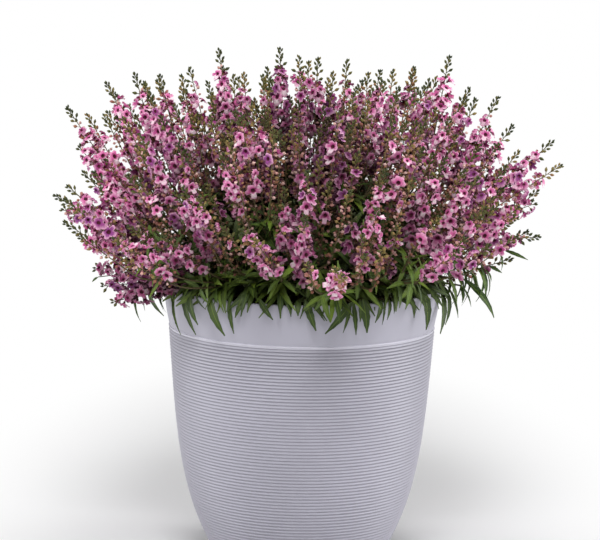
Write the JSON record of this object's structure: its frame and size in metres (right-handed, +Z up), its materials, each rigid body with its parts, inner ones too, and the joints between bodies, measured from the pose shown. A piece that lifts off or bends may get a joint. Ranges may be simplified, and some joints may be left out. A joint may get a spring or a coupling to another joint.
{
  "type": "potted angelonia",
  "caption": "Bushy angelonia with upright spikes of two-lipped mauve florets and narrow leaves over the rim of a ribbed, tapering lavender-grey planter",
  "frame": {"origin": "middle of the pot's flat foot", "axes": "+Z up, the picture's camera looks along +Y, +X to the picture's right"},
  "size_m": [0.5154, 0.5352, 0.5608],
  "materials": {
    "pot": "matte, finely ribbed",
    "potting_mix": "crumbly, moist",
    "greens": "satin leaf",
    "petals": "soft, velvety"
  },
  "bodies": {
    "root": {"pot": "pot", "potting_mix": "potting_mix", "plant_1": "greens", "plant_2": "greens", "plant_3": "greens", "spike_01": "petals", "spike_02": "petals", "spike_03": "petals", "spike_04": "petals", "spike_05": "petals", "spike_06": "petals", "spike_07": "petals", "spike_08": "petals", "spike_09": "petals", "spike_10": "petals", "spike_11": "petals", "spike_12": "petals", "spike_13": "petals", "spike_14": "petals", "spike_15": "petals", "spike_16": "petals", "spike_17": "petals", "spike_18": "petals", "spike_19": "petals", "spike_20": "petals", "spike_21": "petals", "spike_22": "petals", "spike_23": "petals", "spike_24": "petals", "spike_25": "petals", "spike_26": "petals", "spike_27": "petals", "spike_28": "petals", "spike_29": "petals", "spike_30": "petals", "spike_31": "petals", "spike_32": "petals", "spike_33": "petals", "spike_34": "petals", "spike_35": "petals", "spike_36": "petals", "spike_37": "petals", "spike_38": "petals", "spike_39": "petals", "spike_40": "petals", "spike_41": "petals", "spike_42": "petals", "spike_43": "petals", "spike_44": "petals", "spike_45": "petals", "spike_46": "petals"}
  },
  "joints": []
}
